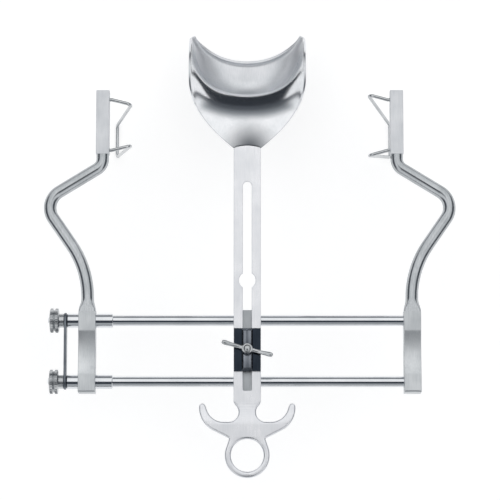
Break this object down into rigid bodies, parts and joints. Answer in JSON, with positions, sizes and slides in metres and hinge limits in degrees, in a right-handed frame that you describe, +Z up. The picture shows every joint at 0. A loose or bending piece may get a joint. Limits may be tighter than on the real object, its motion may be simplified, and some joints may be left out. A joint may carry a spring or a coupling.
{
  "type": "self retaining retractor",
  "caption": "Self retaining abdominal retractor: rods carry a fixed and a sliding arm with wire side blades, and a clamped stem with a centre blade and a finger ring.",
  "frame": {"origin": "centre of the finger ring, at the middle of the stem's thickness", "axes": "+Z up, away from the wound and towards the surgeon; +Y from the finger ring to the centre blade, along the stem; +X along the rods to the fixed arm"},
  "size_m": [0.29, 0.3228, 0.0757],
  "materials": {
    "satin_block": "fine brushed stainless steel",
    "bright_rod": "polished stainless steel",
    "satin_arm": "satin stainless steel",
    "drawn_wire": "bright drawn stainless steel wire",
    "satin_stem": "satin stainless steel",
    "polished_blade": "polished stainless steel",
    "mirror_plate": "mirror polished stainless steel",
    "nut_steel": "polished stainless steel, knurled"
  },
  "bodies": {
    "frame": {"upper_rod": "bright_rod", "lower_rod": "bright_rod", "tie_plate": "satin_block", "right_arm_block": "satin_block", "right_arm": "satin_arm", "right_end_bar": "satin_block", "right_wire_blade": "drawn_wire"},
    "sliding_arm": {"left_arm_block": "satin_block", "upper_bush": "bright_rod", "lower_bush": "bright_rod", "left_arm": "satin_arm", "left_end_bar": "satin_block", "left_wire_blade": "drawn_wire"},
    "saddle": {"saddle": "satin_block", "clamp_stud": "nut_steel"},
    "centre_blade": {"centre_blade": "polished_blade", "blade_stem": "satin_stem", "finger_handle": "satin_stem"},
    "pressure_plate": {"pressure_plate": "mirror_plate"},
    "wing_nut": {"wing_nut": "nut_steel"},
    "upper_rod_nut": {"upper_rod_nut": "nut_steel"},
    "lower_rod_nut": {"lower_rod_nut": "nut_steel"}
  },
  "joints": [
    {"name": "sliding_arm_slide", "type": "slide", "parent": "frame", "child": "sliding_arm", "axis": [1, 0, 0], "range_m": [0, 0.03]},
    {"name": "saddle_slide", "type": "slide", "parent": "frame", "child": "saddle", "axis": [1, 0, 0], "range_m": [-0.008, 0.04]},
    {"name": "centre_blade_slide", "type": "slide", "parent": "saddle", "child": "centre_blade", "axis": [0, 1, 0], "range_m": [-0.1, 0.009]},
    {"name": "pressure_plate_lift", "type": "slide", "parent": "saddle", "child": "pressure_plate", "axis": [0, 0, 1], "range_m": [0, 0.0016]},
    {"name": "wing_nut_turn", "type": "hinge", "parent": "pressure_plate", "child": "wing_nut", "pos_m": [0, 0.0732, 0.0055], "axis": [0, 0, 1], "range_deg": [0, 720]},
    {"name": "upper_rod_nut_turn", "type": "hinge", "parent": "frame", "child": "upper_rod_nut", "pos_m": [-0.1329, 0.09465, -0.008], "axis": [1, 0, 0], "continuous": true},
    {"name": "lower_rod_nut_turn", "type": "hinge", "parent": "frame", "child": "lower_rod_nut", "pos_m": [-0.1329, 0.05175, -0.008], "axis": [1, 0, 0], "continuous": true}
  ],
  "couplings": [
    {"joint": "pressure_plate_lift", "follows": "wing_nut_turn", "m_per_rad": 0.00012732}
  ]
}
